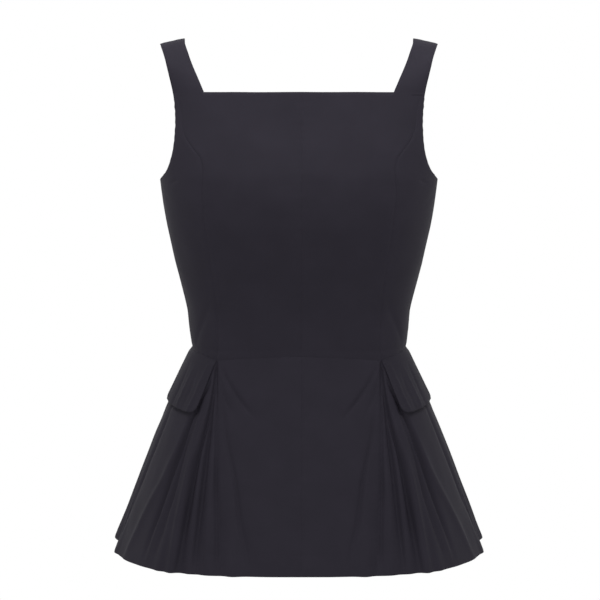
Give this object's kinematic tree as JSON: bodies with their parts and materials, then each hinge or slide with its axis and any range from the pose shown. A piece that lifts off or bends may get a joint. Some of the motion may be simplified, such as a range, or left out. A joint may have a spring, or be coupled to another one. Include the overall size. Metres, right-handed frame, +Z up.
{
  "type": "sleeveless peplum top",
  "caption": "Sleeveless woven top, worn shape with no wearer: square neck, broad straps, princess-seamed bodice, waist seam with pocket flaps and a flared, folded peplum.",
  "frame": {"origin": "midway between the tops of the two shoulder straps, on the centre plane, where the wearer's shoulders hold the top", "axes": "+Z up, the front faces -Y, +X towards the wearer's left"},
  "size_m": [0.4634, 0.264, 0.6218],
  "materials": {
    "bodice_cloth": "fine plain weave, dry, soft sheen",
    "peplum_cloth": "fine plain weave, dry, soft sheen",
    "flap_cloth": "fine plain weave, dry, soft sheen",
    "zip_tape_cloth": "knitted tape, matt",
    "zip_metal": "satin black enamel"
  },
  "bodies": {
    "cloth": {"bodice_front_left": "bodice_cloth", "bodice_side_front_left": "bodice_cloth", "bodice_side_back_left": "bodice_cloth", "bodice_back_left": "bodice_cloth", "peplum_front_left": "peplum_cloth", "peplum_side_front_left": "peplum_cloth", "peplum_side_back_left": "peplum_cloth", "peplum_back_left": "peplum_cloth", "pocket_flap_left": "flap_cloth", "bodice_front_right": "bodice_cloth", "bodice_side_front_right": "bodice_cloth", "bodice_side_back_right": "bodice_cloth", "bodice_back_right": "bodice_cloth", "peplum_front_right": "peplum_cloth", "peplum_side_front_right": "peplum_cloth", "peplum_side_back_right": "peplum_cloth", "peplum_back_right": "peplum_cloth", "pocket_flap_right": "flap_cloth", "zip_tape": "zip_tape_cloth", "zip_slider": "zip_metal"},
    "zip_pull": {"zip_pull": "zip_metal"}
  },
  "joints": [
    {"name": "zip_pull_hinge", "type": "hinge", "parent": "cloth", "child": "zip_pull", "pos_m": [0, 0.09844, -0.08222], "axis": [1, 0, 0], "range_deg": [0, 150]}
  ]
}
